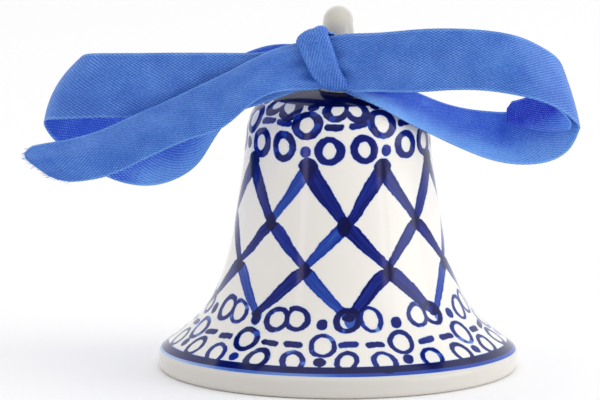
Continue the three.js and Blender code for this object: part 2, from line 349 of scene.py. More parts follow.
# %% A Geometry Nodes tree that turns an outline round Z
class Tree:
    """A Geometry Nodes tree being made, with named inputs for its sizes."""

    def __init__(self, name):
        self.tree = bpy.data.node_groups.new(name, "GeometryNodeTree")
        self.tree.interface.new_socket("Geometry", in_out="INPUT", socket_type="NodeSocketGeometry")
        self.tree.interface.new_socket("Geometry", in_out="OUTPUT", socket_type="NodeSocketGeometry")
        self.inputs = self.tree.nodes.new("NodeGroupInput")
        self.output = self.tree.nodes.new("NodeGroupOutput")
        self.values = {}

    def size(self, name, kind, value):
        """A named input of the tree, with the value that the modifier gives it."""
        item = self.tree.interface.new_socket(name, in_out="INPUT", socket_type=kind)
        self.values[item.identifier] = value
        return self.inputs.outputs[name]

    def node(self, kind, settings=None, **inputs):
        node = self.tree.nodes.new(kind)
        for key, value in (settings or {}).items():
            setattr(node, key, value)
        for key, value in inputs.items():
            self.feed(node.inputs[key.replace("_", " ")], value)
        return node

    def feed(self, socket, value):
        if isinstance(value, bpy.types.NodeSocket):
            self.tree.links.new(value, socket)
        else:
            socket.default_value = value

    def math(self, operation, first, second=0.0):
        node = self.node("ShaderNodeMath", {"operation": operation})
        self.feed(node.inputs[0], first)
        self.feed(node.inputs[1], second)
        return node.outputs[0]

    def finish(self, geometry, material):
        """Makes the instances real, gives them their material and ends the tree."""
        real = self.node("GeometryNodeRealizeInstances", Geometry=geometry)
        dressed = self.node("GeometryNodeSetMaterial", Geometry=real.outputs[0], Material=material)
        self.tree.links.new(dressed.outputs[0], self.output.inputs[0])

    def apply(self, source, name):
        """Runs the tree on the source object and returns the result as a plain mesh object."""
        modifier = source.modifiers.new("shape", "NODES")
        modifier.node_group = self.tree
        for identifier, value in self.values.items():
            modifier[identifier] = value
        graph = bpy.context.evaluated_depsgraph_get()
        mesh = bpy.data.meshes.new_from_object(source.evaluated_get(graph), depsgraph=graph)
        bpy.data.objects.remove(source)
        mesh.name = name
        return new_piece(name, mesh)


def new_piece(name, mesh, material=None):
    piece = bpy.data.objects.new(name, mesh)
    bpy.context.collection.objects.link(piece)
    if material is not None:
        mesh.materials.append(material)
    mesh.shade_smooth()
    return piece


def line_object(name, points):
    """An open line through points in metres, as a curve object."""
    curve = bpy.data.curves.new(name, "CURVE")
    curve.dimensions = "3D"
    spline = curve.splines.new("POLY")
    spline.points.add(len(points) - 1)
    for place, point in zip(spline.points, points):
        place.co = (*point, 1)
    line = bpy.data.objects.new(name, curve)
    bpy.context.collection.objects.link(line)
    return line


def weld(piece, distance=0.004 * MM):
    """Closes seams and poles, and turns every face outwards."""
    shape = bmesh.new()
    shape.from_mesh(piece.data)
    bmesh.ops.remove_doubles(shape, verts=shape.verts, dist=distance)
    bmesh.ops.recalc_face_normals(shape, faces=shape.faces)
    shape.to_mesh(piece.data)
    shape.free()
    open_edges = open_edge_count(piece.data)
    print(piece.name, "has", len(piece.data.polygons), "faces and", open_edges, "open edges")


def open_edge_count(mesh):
    uses = np.zeros(len(mesh.edges), int)
    edges = np.zeros(len(mesh.loops), np.int32)
    mesh.loops.foreach_get("edge_index", edges)
    np.add.at(uses, edges, 1)
    return int((uses != 2).sum())


def turned_shape(name, points, around, along, material):
    """Turns an outline of [radius, height] in millimetres round Z."""
    tree = Tree(f"turn {name} round")
    around = tree.size("Facets Round", "NodeSocketInt", around)
    along = tree.size("Rows", "NodeSocketInt", along)
    grid = tree.node("GeometryNodeMeshGrid", Vertices_X=around, Vertices_Y=along)
    place = tree.node("ShaderNodeSeparateXYZ")
    tree.feed(place.inputs[0], tree.node("GeometryNodeInputPosition").outputs[0])
    down = tree.math("ADD", place.outputs["Y"], 0.5)
    turn = tree.math("MULTIPLY", place.outputs["X"], 2 * math.pi)
    sample = tree.node("GeometryNodeSampleCurve", {"mode": "FACTOR"}, Factor=down)
    tree.feed(sample.inputs[0], tree.inputs.outputs[0])
    point = tree.node("ShaderNodeSeparateXYZ", Vector=sample.outputs["Position"])
    radius = point.outputs["X"]
    x = tree.math("MULTIPLY", radius, tree.math("SINE", turn))
    y = tree.math("MULTIPLY", radius, tree.math("COSINE", turn))
    y = tree.math("MULTIPLY", y, -1.0)
    spot = tree.node("ShaderNodeCombineXYZ", X=x, Y=y, Z=point.outputs["Z"])
    length = tree.node("GeometryNodeCurveLength")
    tree.feed(length.inputs[0], tree.inputs.outputs[0])
    arc = tree.math("MULTIPLY", down, tree.math("MULTIPLY", length.outputs[0], 1 / MM))
    kept = tree.node("GeometryNodeStoreNamedAttribute", {"data_type": "FLOAT", "domain": "POINT"},
                     Geometry=grid.outputs["Mesh"], Name="arc", Value=arc)
    shaped = tree.node("GeometryNodeSetPosition", Geometry=kept.outputs[0],
                       Position=spot.outputs[0])
    tree.finish(shaped.outputs[0], material)
    line = line_object(name, [(r * MM, 0, z * MM) for r, z in points])
    piece = tree.apply(line, name)
    weld(piece)
    return piece


# %% [markdown]
# ## The painting under the glaze
#
# The real pattern is cobalt under a clear glaze: rings and dots stamped with cut sponges, dashes and
# a lattice put on with a loaded brush, and lines turned on a wheel. It could be drawn as an image,
# but a rule keeps it sharp at any size. Every mark is a distance in millimetres, measured on the
# wall: across, the angle times the radius, and along, the way down the outline. Two bands of rings
# repeat a whole number of times round, and chance moves each stamp and changes how much ink it has.

# %% Marks of ink, as distances on the wall
INK_SOFTNESS = 0.10
HALO_WIDTH = 0.5


class Painting(Finish):
    """A finish that collects marks of ink, each a distance from its edge and a strength."""

    def __init__(self, name):
        super().__init__(name)
        self.place = self.node("ShaderNodeTexCoord", output="Object")
        x, y, z = self.parts(self.place)
        self.height = z / MM
        self.radius = self.length(x, y) / MM
        self.down = self.node("ShaderNodeAttribute", {"attribute_name": "arc"}, output="Fac")
        sway = self.noise(self.place, 170.0, 1.0, output="Color")
        jag = self.noise(self.place, 1100.0, 1.0, output="Color")
        sway_x, sway_y, _ = self.parts(sway)
        jag_x, jag_y, _ = self.parts(jag)
        self.sway_along = (sway_y - 0.5) * 0.9 + (jag_y - 0.5) * 0.34
        self.sway_across = (sway_x - 0.5) * 0.9 + (jag_x - 0.5) * 0.34
        self.angle = x.call("ARCTAN2", y * -1.0) + self.sway_across / self.radius
        self.wall_down = self.down + self.sway_along
        self.patches = self.noise(self.place, 420.0, 1.0)
        self.bare, self.nearest = 1.0, None

    def mark(self, distance, strength):
        """Adds a mark; distance is in millimetres from its edge, less than 0 inside."""
        ink = self.step(distance, INK_SOFTNESS, -INK_SOFTNESS)
        self.bare = (1.0 - ink * strength) * self.bare
        self.nearest = distance if self.nearest is None else self.nearest.call("MINIMUM", distance)

    def turn(self, count, phase):
        """Which of the count units round the bell a point is in, and how far it is from its middle."""
        place = (self.angle - math.radians(phase)) * (count / (2 * math.pi))
        index = place.call("ROUND")
        across = (place - index) * (2 * math.pi / count) * self.radius
        return index.call("FLOORED_MODULO", float(count)), across

    def stamp_ring(self, across, along, index, seed, outer, hole, uneven):
        """A ring printed with a sponge: a bit off its place, out of round and unevenly inked."""
        a, b, c = self.chance(index, seed)
        d, e, f = self.chance(index, seed + 31.7)
        across, along = across + (a - 0.5) * 0.7, along + (b - 0.5) * 0.7
        outside = self.length(across / (0.95 + c * 0.13), along / (1.0 + d * 0.09)) - outer
        inside = hole - self.length(across, along / (1.05 + e * 0.3))
        faint = self.step(self.patches + f * 0.20, 0.72, 0.84)
        self.mark(outside.call("MAXIMUM", inside), 0.96 - (faint * 0.20 + e * 0.07) * uneven)

    def stamp_dot(self, across, along, index, seed, size):
        a, b, c = self.chance(index, seed)
        spot = self.length(across + (a - 0.5) * 0.5, along + (b - 0.5) * 0.5)
        self.mark(spot - size, 0.97 - c * 0.22)

    def dash(self, across, along, index, seed, long, wide):
        a, b, c = self.chance(index, seed)
        across, along = across + (a - 0.5) * 0.5, along + (b - 0.5) * 0.5
        along = along + across * (c - 0.5) * 0.3
        beyond = (across.call("ABSOLUTE") - (long - wide) / 2).call("MAXIMUM", 0.0)
        self.mark(self.length(beyond, along) - wide / 2, 0.96 - b * 0.18)


# %% A band of rings, dots and dashes
RING_AWAY = 5.1
DASH_AWAY = 5.5
DASH_LONG, DASH_WIDE = 4.0, 1.4
DOT_RADIUS = 1.17


def ring_band(painting, count, phase, rows, seed, dots, size, stroke, uneven):
    """Centre rings with four rings round each, for the given heights of the three rows."""
    upper, middle, lower = [arc_at(row) for row in rows]
    index, across = painting.turn(count, phase)
    along = painting.wall_down - middle
    painting.stamp_ring(across, along, index, seed, size, size - stroke, uneven)
    below = along.call("GREATER_THAN", 0.0)
    dot_along = along.call("ABSOLUTE") - painting.between(*dots, below)
    painting.stamp_dot(across, dot_along, index * 2.0 + below, seed + 3.3, DOT_RADIUS)
    corner = across.call("GREATER_THAN", 0.0) + index * 2.0
    side = across.call("ABSOLUTE")
    painting.dash(side - DASH_AWAY, along, corner, seed + 5.9, DASH_LONG, DASH_WIDE)
    row = painting.between(middle - upper, lower - middle, below)
    ring_along = along.call("ABSOLUTE") - row
    number = corner * 2.0 + below
    small = size - 0.2
    aside = side - RING_AWAY
    painting.stamp_ring(aside, ring_along, number, seed + 9.1, small, small - stroke, uneven)


# %% The brushed lattice
LATTICE_ROWS = [43.1, 32.0, 23.3, 14.2]
LATTICE_PHASE = -17.9
LATTICE_UNITS = 16
STROKE_THICK, STROKE_THIN = 1.62, 0.86
ROW_PITCH = 10.0
END_PITCH = 10.3


def lattice_row(painting):
    """How many rows down the lattice a point is, from 0 at the first row of crossings."""
    arcs = [arc_at(row) for row in LATTICE_ROWS]
    row = (painting.wall_down - arcs[0]) / (arcs[1] - arcs[0])
    for i in (1, 2):
        further = (painting.wall_down - arcs[i]) / (arcs[i + 1] - arcs[i]) + float(i)
        past = painting.wall_down.call("GREATER_THAN", arcs[i])
        row = painting.between(row, further, past)
    return row


def lattice(painting):
    row = lattice_row(painting)
    column = (painting.angle - math.radians(LATTICE_PHASE)) * (LATTICE_UNITS / (2 * math.pi))
    per_across = (LATTICE_UNITS / (2 * math.pi)) / painting.radius
    slope = painting.length(per_across, 1 / ROW_PITCH) * 0.5
    level = row.call("FLOOR").held(0.0, 2.0)
    down = row - level
    first = level.call("LESS_THAN", 0.5)
    within = row.held(0.0, 3.0)
    beyond = (row - within) * END_PITCH
    for number, lean in enumerate((1.0, -1.0)):
        place = (column + within * lean) * 0.5
        line = place.call("ROUND")
        off = (place - line) / slope
        code = line.call("FLOORED_MODULO", LATTICE_UNITS / 2) * 4.0 + level
        a, b, c = painting.chance(code, 40.3 + number * 17.1)
        loaded = painting.step(down, -0.12, 0.10).call("MAXIMUM", first)
        loaded = loaded * painting.step(down, 1.15, 0.10)
        width = painting.between(STROKE_THIN, STROKE_THICK, loaded) * (a * 0.3 + 0.82)
        middle = off + (b - 0.5) * 0.5
        across_stroke = painting.length(middle, beyond)
        edge = across_stroke - width
        brushed = painting.node("ShaderNodeCombineXYZ", None, middle * 1.6, row * 1.1, code)
        streak = painting.noise(brushed, 1.2, 3.0)
        rim = painting.step(across_stroke / width, 0.55, 0.95) * 0.10
        pale = painting.step(c, 0.72, 0.80) * 0.22
        strength = (streak - 0.5) * 0.46 + 0.85 + rim - pale
        painting.mark(edge, strength.sum("ADD", strength, 0.0, clamp=True))
    crossing_blobs(painting, row, column)


def crossing_blobs(painting, row, column):
    """The brush rests where two strokes meet, and leaves a darker pool just below the crossing."""
    nearest = row.call("ROUND").held(0.0, 3.0)
    odd = nearest.call("FLOORED_MODULO", 2.0)
    unit = ((column + odd) * 0.5).call("ROUND")
    across = ((column + odd) * 0.5 - unit) * 2.0 / (LATTICE_UNITS / (2 * math.pi)) * painting.radius
    along = (row - nearest) * ROW_PITCH
    code = unit.call("FLOORED_MODULO", LATTICE_UNITS / 2) * 4.0 + nearest
    a, b, c = painting.chance(code, 71.9)
    drop = (along - b * 0.9 - 0.2) * 0.72
    pool = painting.length(across + (a - 0.5) * 1.2, drop) - (c * 0.55 + 0.95)
    painting.mark(pool, a * 0.45 + 0.45)


# %% The turned lines: the cobalt line above the rim and the band round the crown
WHEEL_OFF_CENTRE = 1.15


def turned_lines(painting):
    """The cobalt line rises at the front, as if the bell sat off the wheel's centre."""
    slow = painting.noise(painting.place, 22.0, 1.0) - 0.5
    off_centre = painting.angle.call("COSINE") * WHEEL_OFF_CENTRE
    line = painting.down + slow * 0.9 + off_centre
    top, bottom = arc_at(5.15), arc_at(3.55)
    middle, half = (top + bottom) / 2, (bottom - top) / 2
    dark = (line - (top + 0.68 * (bottom - top))).call("MAXIMUM", top - line)
    painting.mark(dark, 0.92)
    pale = (line - middle - slow * 1.2).call("ABSOLUTE") - half
    painting.mark(pale, 0.46 + slow * 1.6)
    band_out, band_in = arc_at(54.9), arc_at(57.9)
    ring = (painting.down + slow * 0.8 - (band_in + band_out) / 2).call("ABSOLUTE")
    painting.mark(ring - (band_out - band_in) / 2, 0.97)


# %% The ink's colours, and the clear glaze over all of it
GLAZE = colour(243, 240, 230)
RIM_GLAZE = colour(218, 215, 206)
HALO = colour(182, 202, 232)
BISQUE = colour(206, 201, 188)
INK_STOPS = [
    (0.0, GLAZE), (0.18, colour(176, 196, 228)), (0.38, colour(112, 148, 212)),
    (0.56, colour(46, 84, 178)), (0.76, colour(22, 44, 142)), (0.90, colour(9, 20, 106)),
    (1.0, colour(3, 7, 66)),
]


def painted_glaze():
    painting = Painting("painted glaze")
    ring_band(painting, 7, -20.4, rows=(54.3, 51.4, 46.9), seed=2.0, dots=(4.5, 5.3),
              size=3.06, stroke=1.56, uneven=1.2)
    ring_band(painting, 11, -6.8, rows=(13.8, 9.5, 6.6), seed=12.0, dots=(4.7, 4.3),
              size=2.86, stroke=1.12, uneven=2.0)
    lattice(painting)
    turned_lines(painting)
    outside = painting.step(painting.down, outline_arc[foot_start] + 0.2,
                            outline_arc[foot_start] - 0.2)
    ink = (1.0 - painting.bare) * outside
    halo = painting.step(painting.nearest, HALO_WIDTH, 0.0) * outside * 0.34
    paint = painting.node("ShaderNodeValToRGB", {"stops": INK_STOPS}, ink)
    rim = painting.step(painting.down, arc_at(5.2), arc_at(4.2))
    clear = mix_colours(painting, rim, GLAZE, RIM_GLAZE)
    clear = mix_colours(painting, halo, clear, HALO)
    shown = mix_colours(painting, painting.step(ink, 0.0, 0.14), clear, paint)
    foot = painting.step(painting.height, 0.28, 0.14)
    painting.set(Base_Color=mix_colours(painting, foot, shown, BISQUE))
    painting.set(Roughness=painting.between(0.12, 0.75, foot))
    painting.set(Normal=glaze_waves(painting, painting.place), IOR=1.36)
    return painting.material


def mix_colours(finish, factor, first, second):
    node = finish.tree.nodes.new("ShaderNodeMix")
    node.data_type = "RGBA"
    finish.feed(node.inputs[0], factor)
    for socket, value in zip(node.inputs[6:8], (first, second)):
        finish.feed(socket, value if isinstance(value, Wire) else (*value, 1))
    return Wire(finish, node.outputs[2])


def glaze_waves(finish, place):
    """Thick glaze is never quite flat: slow waves, and a very fine orange peel."""
    waves = finish.noise(place, 95.0, 2.0) * 0.75 + finish.noise(place, 700.0, 1.0) * 0.05
    return finish.node("ShaderNodeBump", None, Strength=0.06, Distance=0.0006, Height=waves)


painted = painted_glaze()
print("the painting has", len(painted.node_tree.nodes), "nodes")

# %% [markdown]
# ## The plain finishes
#
# The loop and the clapper's clay parts are dipped in the same glaze without paint, which goes a
# little warm and grey where it is thick. The glaze on the loop and the clay eye is also greyer all
# over than the bell's: this is painted shade. The wire is drawn steel, with fine lines along it.
# Satin has long floats of thread in staggered rows, and a woven border at each edge. Its colour and
# bump are laid out by the strip's own map, in millimetres of cloth. The inner side and the tucked
# tail are coloured lighter towards the lower edge, except at the far left: this is painted light,
# which stands in for light that the studio doesn't give. The tucked tail has a deeper blue of its
# own, which is painted shade for its place inside the right loop.

# %% Plain glaze and steel wire
def plain_glaze(name, thin, thick):
    glaze = Finish(name)
    place = glaze.node("ShaderNodeTexCoord", output="Object")
    cloud = glaze.noise(place, 260.0, 3.0)
    speck = glaze.step(glaze.noise(place, 2600.0, 1.0), 0.70, 0.76) * 0.3
    body = mix_colours(glaze, cloud, thin, thick)
    glaze.set(Base_Color=mix_colours(glaze, speck, body, colour(150, 140, 120)))
    glaze.set(Roughness=glaze.between(0.10, 0.24, cloud), Normal=glaze_waves(glaze, place))
    return glaze.material


def steel_wire():
    steel = Finish("steel wire")
    place = steel.node("ShaderNodeTexCoord", output="Object")
    x, y, z = steel.parts(place)
    drawn = steel.node("ShaderNodeCombineXYZ", None, x * 9.0, y * 9.0, z)
    lines = steel.noise(drawn, 700.0, 2.0)
    tarnish = steel.noise(place, 320.0, 2.0)
    steel.set(Base_Color=mix_colours(steel, tarnish, colour(196, 198, 200), colour(150, 148, 144)))
    steel.set(Roughness=steel.between(0.22, 0.48, lines), Metallic=1.0)
    steel.set(Normal=steel.node("ShaderNodeBump", None, Strength=0.2, Distance=0.0001,
                                Height=lines))
    return steel.material


# The loop and the eye get a greyer glaze than the bell: this is painted shade.
loop_glaze_painted_shade = plain_glaze("loop glaze painted shade", colour(206, 203, 192), colour(184, 180, 168))
bead_glaze = plain_glaze("bead glaze", colour(228, 226, 218), colour(206, 203, 193))
wire_steel = steel_wire()

# %% Blue satin, its shiny face and its dull back
RIBBON_WIDTH = 12.7
FLOAT_LENGTH = 0.95
FLOAT_STEP = 0.56
SELVEDGE = 0.5


def satin_face(name, stops, sheen, rough, painted_light_strength=0.0):
    """Satin: long floats of thread in staggered rows, which in places read as slanted lines."""
    face = Finish(name)
    cloth = face.node("ShaderNodeUVMap", {"uv_map": "weave"})
    across, along, _ = face.parts(cloth)
    drift = face.noise(cloth, 0.16)
    grain = face.noise(cloth, 1.7)
    waver = (grain - 0.5) * 1.2
    length_turn = along * (2 * math.pi / FLOAT_LENGTH) + waver
    width_turn = across * (2 * math.pi / FLOAT_STEP)
    floats = length_turn.call("COSINE") * width_turn.call("COSINE")
    slant = (length_turn * 0.8 + width_turn).call("COSINE")
    slanted = face.step(drift, 0.58, 0.74)
    weave = face.between(floats, slant, slanted) * 0.5 + 0.5
    fade = face.step(face.noise(cloth, 0.21, 2.0), 0.30, 0.62)
    edge = (across - RIBBON_WIDTH / 2).call("ABSOLUTE") - (RIBBON_WIDTH / 2 - SELVEDGE)
    border = face.step(edge, -0.12, 0.12)
    place = face.node("ShaderNodeTexCoord", output="Object")
    sideways, _, _ = face.parts(place)
    # Painted light: the strip is made lighter towards its lower edge, except at the far left.
    painted_light_lift = face.step(across, 4.0, 12.0) * face.step(sideways, -46 * MM, -36 * MM) * painted_light_strength
    tone = 0.5 + (weave - 0.5) * (0.26 + fade * 0.36) + (grain - 0.5) * 0.35 + (drift - 0.5) * 0.4
    tone = tone + painted_light_lift
    body = face.node("ShaderNodeValToRGB", {"stops": stops}, tone + border * 0.18)
    face.set(Base_Color=body, Roughness=face.between(rough + 0.1, rough - 0.06, weave))
    height = weave * 0.7 + grain * 0.25 + border * 0.4
    face.set(Normal=face.node("ShaderNodeBump", None, Strength=0.45, Distance=0.00012,
                              Height=height))
    face.set(Sheen_Weight=sheen, Sheen_Roughness=0.35, Sheen_Tint=(*colour(120, 165, 240), 1))
    return face.material


satin = satin_face("satin face", [
    (0.10, colour(18, 64, 166)), (0.45, colour(48, 105, 198)), (0.90, colour(116, 170, 238)),
], 0.20, 0.46)
satin_back = satin_face("satin back", [
    (0.10, colour(10, 52, 184)), (0.50, colour(36, 92, 214)), (1.0, colour(124, 184, 252)),
], 0.10, 0.55, painted_light_strength=0.42)
# A darker copy of the satin for the tucked tail: painted shade for its place inside the right loop.
satin_painted_shade = satin_face("satin painted shade", [
    (0.10, colour(0, 8, 150)), (0.50, colour(2, 40, 196)), (1.0, colour(108, 166, 250)),
], 0.0, 0.62, painted_light_strength=0.40)
print("finishes:", ", ".join(m.name for m in bpy.data.materials))


# %% [markdown]
# ## Turning the shell
#
# The tree above takes the outline as a curve, so the same one also turns the bead and the pin's
# head. The seam is at the back. The doubled points along it and at the two poles are merged after.

# %% The shell
shell = turned_shape("porcelain_shell", outline, 216, 430, painted)
shell_height = max(v.co.z for v in shell.data.vertices) / MM
print("the shell is", round(shell_height, 1), "mm high")

# %% [markdown]
# ## Rolled clay and bent wire
#
# The hanging loop, the little eye under the crown, the link and the clapper's wire are all round
# rods on a path. The clay ones are rolled by hand and pressed onto the crown while soft, so they
# swell where they join it. Curve to Mesh sweeps a circle along each path, at the path's own radius.

# %% A tree that makes a rod from a path
def rod_shape(name, points, radii, sides, material, closed=False):
    """A round rod along points in millimetres, with its radius at each."""
    tree = Tree(f"roll {name}")
    sides = tree.size("Sides", "NodeSocketInt", sides)
    circle = tree.node("GeometryNodeCurvePrimitiveCircle", Resolution=sides, Radius=1.0)
    sweep = tree.node("GeometryNodeCurveToMesh", Profile_Curve=circle.outputs[0],
                      Fill_Caps=not closed)
    tree.feed(sweep.inputs["Curve"], tree.inputs.outputs[0])
    tree.feed(sweep.inputs["Scale"], tree.node("GeometryNodeInputRadius").outputs[0])
    tree.finish(sweep.outputs[0], material)
    line = line_object(name, [tuple(v * MM for v in point) for point in points])
    spline = line.data.splines[0]
    spline.use_cyclic_u = closed
    for place, radius in zip(spline.points, radii):
        place.radius = radius * MM
    piece = tree.apply(line, name)
    weld(piece, 0.001 * MM)
    return piece


def merged(name, *pieces):
    """Joins pieces into one plain mesh."""
    shape = bmesh.new()
    for piece in pieces:
        shape.from_mesh(piece.data)
    mesh = bpy.data.meshes.new(name)
    shape.to_mesh(mesh)
    shape.free()
    material = pieces[0].data.materials[0]
    for piece in pieces:
        bpy.data.objects.remove(piece)
    return new_piece(name, mesh, material)


def bent_path(legs, leg_end, centre, steps):
    """A U from one leg's end round to the other's, as [across, height]."""
    way = math.copysign(1, centre - leg_end)
    straight = np.linspace(leg_end, centre, 14)[:-1]
    down = [[-legs, height] for height in straight]
    angles = np.linspace(0, math.pi, steps)
    bend = [[-legs * math.cos(a), centre + way * legs * math.sin(a)] for a in angles]
    up = [[legs, height] for height in straight[::-1]]
    return down + bend + up


# %% The hanging loop and the eye under the crown
LOOP_SECTION = loop_high[0] / MM
LOOP_TOP = loop_high[2] / MM
LOOP_LEGS = loop_high[1] / MM - LOOP_SECTION
LOOP_CENTRE = LOOP_TOP - LOOP_SECTION - LOOP_LEGS


def hanging_loop():
    path = bent_path(LOOP_LEGS, CROWN_TOP - 1.6, LOOP_CENTRE, 44)
    radii = []
    for i, (across, height) in enumerate(path):
        foot = math.exp(-max(height - CROWN_TOP, 0) / 0.9) * 1.5
        hand = 0.07 * math.sin(i * 0.31) + 0.05 * math.sin(i * 0.83 + 1.0)
        radii.append(LOOP_SECTION - 0.12 + foot + hand)
    points = [(0.06 * math.sin(i * 0.4), a, h) for i, (a, h) in enumerate(path)]
    return rod_shape("rolled_loop", points, radii, 40, loop_glaze_painted_shade)


lug_low, lug_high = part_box("clapper_lug")
LUG_SECTION = lug_high[1] / MM
LUG_LEGS = lug_high[0] / MM - LUG_SECTION
LUG_CENTRE = lug_low[2] / MM + LUG_SECTION + LUG_LEGS


def clapper_eye():
    ceiling = CROWN_TOP - CROWN_THICKNESS
    path = bent_path(LUG_LEGS, ceiling + 1.0, LUG_CENTRE, 32)
    radii = [LUG_SECTION - 0.04 + math.exp(-max(ceiling - h, 0) / 0.7) * 0.9 for a, h in path]
    return rod_shape("clay_eye", [(a, 0, h) for a, h in path], radii, 28, loop_glaze_painted_shade)


loop = hanging_loop()
eye = clapper_eye()

# %% [markdown]
# ## The clapper
#
# A steel ring hangs on the clay eye. The clapper is one wire: an eye bent at its top, a straight
# stem through the bead's bore, and a head flattened at its foot, which the fired bead rests on.

# %% The ring, the wire and the bead
ring_low, ring_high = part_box("link_ring")
pin_low, pin_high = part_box("clapper_pin")
bead_low, bead_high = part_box("clapper_bead")
WIRE = ring_high[0] / MM
RING_CENTRE = (ring_low[2] + ring_high[2]) / 2 / MM
RING_RADIUS = (ring_high[2] - ring_low[2]) / 2 / MM - WIRE
PIN_EYE_RADIUS = pin_high[0] / MM - WIRE
PIN_EYE_CENTRE = pin_high[2] / MM - WIRE - PIN_EYE_RADIUS
PIN_FOOT = pin_low[2] / MM
BEAD_RADIUS = bead_high[0] / MM
BEAD_HEIGHT = (bead_low[2] + bead_high[2]) / 2 / MM
BEAD_BORE = 0.95
BORE_EDGE = 0.25
HEAD_HEIGHT = 0.8
HEAD_RADIUS = 1.9
HEAD_ROUND = 0.3


def link_ring():
    angles = np.linspace(0, 2 * math.pi, 72, endpoint=False)
    points = [(0, RING_RADIUS * math.sin(a), RING_CENTRE + RING_RADIUS * math.cos(a)) for a in angles]
    return rod_shape("steel_ring", points, [WIRE] * len(points), 20, wire_steel, closed=True)


def clapper_wire():
    stem_top = PIN_EYE_CENTRE - PIN_EYE_RADIUS
    stem = [(0, 0, h) for h in np.linspace(PIN_FOOT + 0.3, stem_top - 0.4, 20)]
    turn = np.radians(np.linspace(-78, 262, 60))
    bend = [(PIN_EYE_RADIUS * math.cos(a), 0, PIN_EYE_CENTRE + PIN_EYE_RADIUS * math.sin(a))
            for a in turn]
    points = stem + bend
    wire = rod_shape("pin_stem", points, [WIRE] * len(points), 20, wire_steel)
    side = HEAD_RADIUS - HEAD_ROUND
    rim = arc_points((side, PIN_FOOT + HEAD_HEIGHT - HEAD_ROUND), HEAD_ROUND, 80, 0, 6)
    heel = arc_points((side, PIN_FOOT + HEAD_ROUND), HEAD_ROUND, 0, -80, 6)
    top, foot = [[0, PIN_FOOT + HEAD_HEIGHT]], [[0, PIN_FOOT]]
    head = turned_shape("pin_head", np.concatenate([top, rim, heel, foot]), 48, 60, wire_steel)
    return merged("clapper_wire", wire, head)


def fired_bead():
    reach = math.degrees(math.acos((BEAD_BORE + BORE_EDGE) / BEAD_RADIUS))
    ball = arc_points((0, BEAD_HEIGHT), BEAD_RADIUS, reach, -reach, 60)
    top, foot = ball[0][1] - BORE_EDGE, ball[-1][1] + BORE_EDGE
    bore = [[BEAD_BORE, foot], [BEAD_BORE, top]]
    return turned_shape("fired_bead", np.concatenate([ball, bore, ball[:1]]), 96, 150, bead_glaze)


ring = link_ring()
pin = clapper_wire()
bead = fired_bead()

# %% [markdown]
# ## The ribbon
#
# The bow is one strip of blue satin, 12.7 mm wide, tied round the loop's front leg. Cloth
# simulation would have to tie the knot, which it can't do reliably, so each stretch is laid by its
# two edges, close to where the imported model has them. Smooth curves join the stations of the edges,
# and rows of points run across between them. Where the edges are closer than the cloth is wide, the
# cloth has to go somewhere: it bows out, and close to the knot it gathers into pleats.

# %% A strip between two edges
ROWS_PER_MM = 2.2
ACROSS = 30
CLOTH = 0.28
GATHER_REACH = 7.0
SWELL_REACH = 13.0
CUT_REACH = 14.0
MOST_SPARE = 0.09


def row_directions(rows):
    """Which way the strip faces at each row."""
    middle = rows.mean(axis=1)
    along = np.gradient(middle, axis=0)
    across = rows[:, 0] - rows[:, 1]
    facing = np.cross(along, across)
    return facing / np.linalg.norm(facing, axis=1)[:, None]


def laid_strip(name, stations, knots, cup, creases, seed, swell=0.0, cut=None, turned=False):
    """A strip through stations of [upper edge, lower edge]. knots says how gathered each end is."""
    flat = np.array([[*a, *b] for a, b in stations], float)
    rough = smooth_line(flat, 400).reshape(-1, 2, 3)
    steps = np.linalg.norm(np.diff(rough.mean(axis=1), axis=0), axis=1)
    count = int(steps.sum() * ROWS_PER_MM)
    rows = smooth_line(flat, count).reshape(-1, 2, 3)
    facing = row_directions(rows)
    middle = rows.mean(axis=1)
    run = np.concatenate([[0], np.cumsum(np.linalg.norm(np.diff(middle, axis=0), axis=1))])
    bend = run[int(np.abs(middle[:, 0]).argmax())]
    s = np.linspace(0, 1, ACROSS + 1)
    points = np.zeros((count, ACROSS + 1, 3))
    for i in range(count):
        chord = np.linalg.norm(rows[i, 0] - rows[i, 1])
        spare = max(RIBBON_WIDTH / max(chord, 1) - 1, 0)
        ends = (run[i], run[-1] - run[i])
        gather = max(k * math.exp(-(d / GATHER_REACH) ** 2) for k, d in zip(knots, ends))
        gather = min(gather, 1)
        line = rows[i, 0][None] * (1 - s[:, None]) + rows[i, 1][None] * s[:, None]
        # a shallow arc is longer than its chord by 8/3 of the square of its rise over the chord
        bow = chord * math.sqrt(3 / 8 * min(spare, MOST_SPARE)) * cup * (1 - gather)
        out = swell * math.exp(-((run[i] - bend) / SWELL_REACH) ** 2)
        height = (bow + out) * (1 - (2 * s - 1) ** 2)
        height = height + pleats(s, run[i], chord, spare, gather, seed)
        height = height + creases * soft_creases(s, run[i], ends, seed)
        points[i] = line + facing[i][None] * height[:, None]
    along = np.tile(run[:, None], (1, ACROSS + 1))
    if cut is not None:
        points, along = slanted(points, run, cut)
    return strip_mesh(name, points, along, turned)


def pleats(s, along, chord, spare, gather, seed):
    """Lengthwise folds where the cloth is gathered into a knot."""
    waves = 3.0
    tall = min(chord / (math.pi * waves) * math.sqrt(min(spare, 0.6)), 0.55)
    shift = 0.5 * math.sin(along * 0.11 + seed)
    return gather * tall * np.sin(2 * math.pi * (waves * s + shift) + seed)


def soft_creases(s, along, ends, seed):
    """The slow rise and fall of cloth that was folded and then handled."""
    slow = 0.16 * np.sin(along * 0.21 + 2.0 * s + seed * 1.7)
    quick = 0.07 * np.sin(along * 0.53 - 3.1 * s + seed)
    near = math.exp(-(min(ends) / 16.0) ** 2)
    ridge = 0.30 * near * np.sin(2 * math.pi * (1.7 * s + 0.012 * along) + seed * 2.1)
    return slow + quick + ridge


